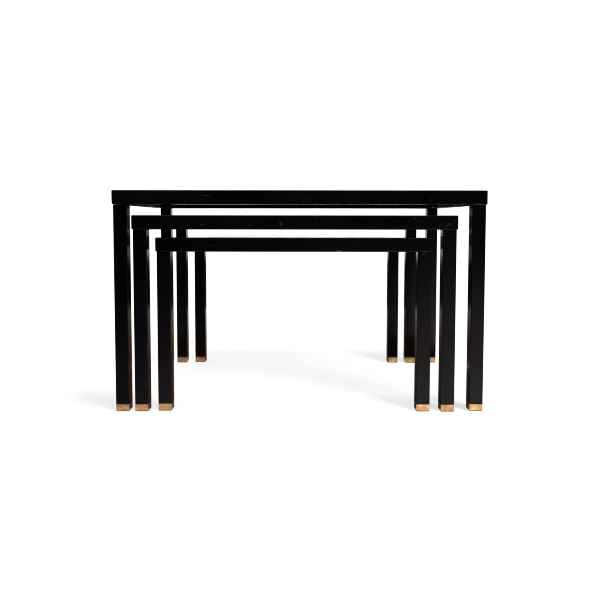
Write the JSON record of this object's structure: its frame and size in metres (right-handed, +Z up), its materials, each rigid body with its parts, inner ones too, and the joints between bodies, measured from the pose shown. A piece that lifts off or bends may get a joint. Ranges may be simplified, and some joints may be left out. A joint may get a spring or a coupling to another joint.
{
  "type": "nesting tables",
  "caption": "Nest of low rectangular tables with slim square legs under a shallow framed top and brass-capped feet; the smaller tables slide out from under the largest.",
  "frame": {"origin": "on the floor under the middle of the largest table, which holds the others within its outline", "axes": "+X to the right across the width, +Y to the back, +Z up; the front of the nest faces -Y"},
  "size_m": [0.69, 0.4518, 0.412],
  "materials": {
    "black_lacquer": "satin-gloss black lacquer on wood, lightly worn",
    "brass_cap": "aged brass, mottled and dulled",
    "steel": "zinc-plated fastener steel",
    "dowel_beech": "bare beech"
  },
  "bodies": {
    "outer_table": {"outer_front_rail": "black_lacquer", "outer_rear_rail": "black_lacquer", "outer_left_rail": "black_lacquer", "outer_right_rail": "black_lacquer", "outer_top_panel": "black_lacquer", "outer_leg_front_left": "black_lacquer", "outer_leg_front_right": "black_lacquer", "outer_leg_rear_left": "black_lacquer", "outer_leg_rear_right": "black_lacquer", "outer_foot_cap_front_left": "brass_cap", "outer_foot_cap_front_right": "brass_cap", "outer_foot_cap_rear_left": "brass_cap", "outer_foot_cap_rear_right": "brass_cap", "outer_rail_dowels": "dowel_beech", "outer_panel_screws": "steel", "outer_leg_bolts": "steel", "outer_leg_inserts": "steel"},
    "middle_table": {"middle_front_rail": "black_lacquer", "middle_rear_rail": "black_lacquer", "middle_left_rail": "black_lacquer", "middle_right_rail": "black_lacquer", "middle_top_panel": "black_lacquer", "middle_leg_front_left": "black_lacquer", "middle_leg_front_right": "black_lacquer", "middle_leg_rear_left": "black_lacquer", "middle_leg_rear_right": "black_lacquer", "middle_foot_cap_front_left": "brass_cap", "middle_foot_cap_front_right": "brass_cap", "middle_foot_cap_rear_left": "brass_cap", "middle_foot_cap_rear_right": "brass_cap", "middle_rail_dowels": "dowel_beech", "middle_panel_screws": "steel", "middle_leg_bolts": "steel", "middle_leg_inserts": "steel"},
    "inner_table": {"inner_front_rail": "black_lacquer", "inner_rear_rail": "black_lacquer", "inner_left_rail": "black_lacquer", "inner_right_rail": "black_lacquer", "inner_top_panel": "black_lacquer", "inner_leg_front_left": "black_lacquer", "inner_leg_front_right": "black_lacquer", "inner_leg_rear_left": "black_lacquer", "inner_leg_rear_right": "black_lacquer", "inner_foot_cap_front_left": "brass_cap", "inner_foot_cap_front_right": "brass_cap", "inner_foot_cap_rear_left": "brass_cap", "inner_foot_cap_rear_right": "brass_cap", "inner_rail_dowels": "dowel_beech", "inner_panel_screws": "steel", "inner_leg_bolts": "steel", "inner_leg_inserts": "steel"}
  },
  "joints": [
    {"name": "middle_slide", "type": "slide", "parent": "outer_table", "child": "middle_table", "axis": [0, -1, 0], "range_m": [-0.46, 0.46]},
    {"name": "inner_slide", "type": "slide", "parent": "outer_table", "child": "inner_table", "axis": [0, -1, 0], "range_m": [-0.46, 0.46]}
  ]
}
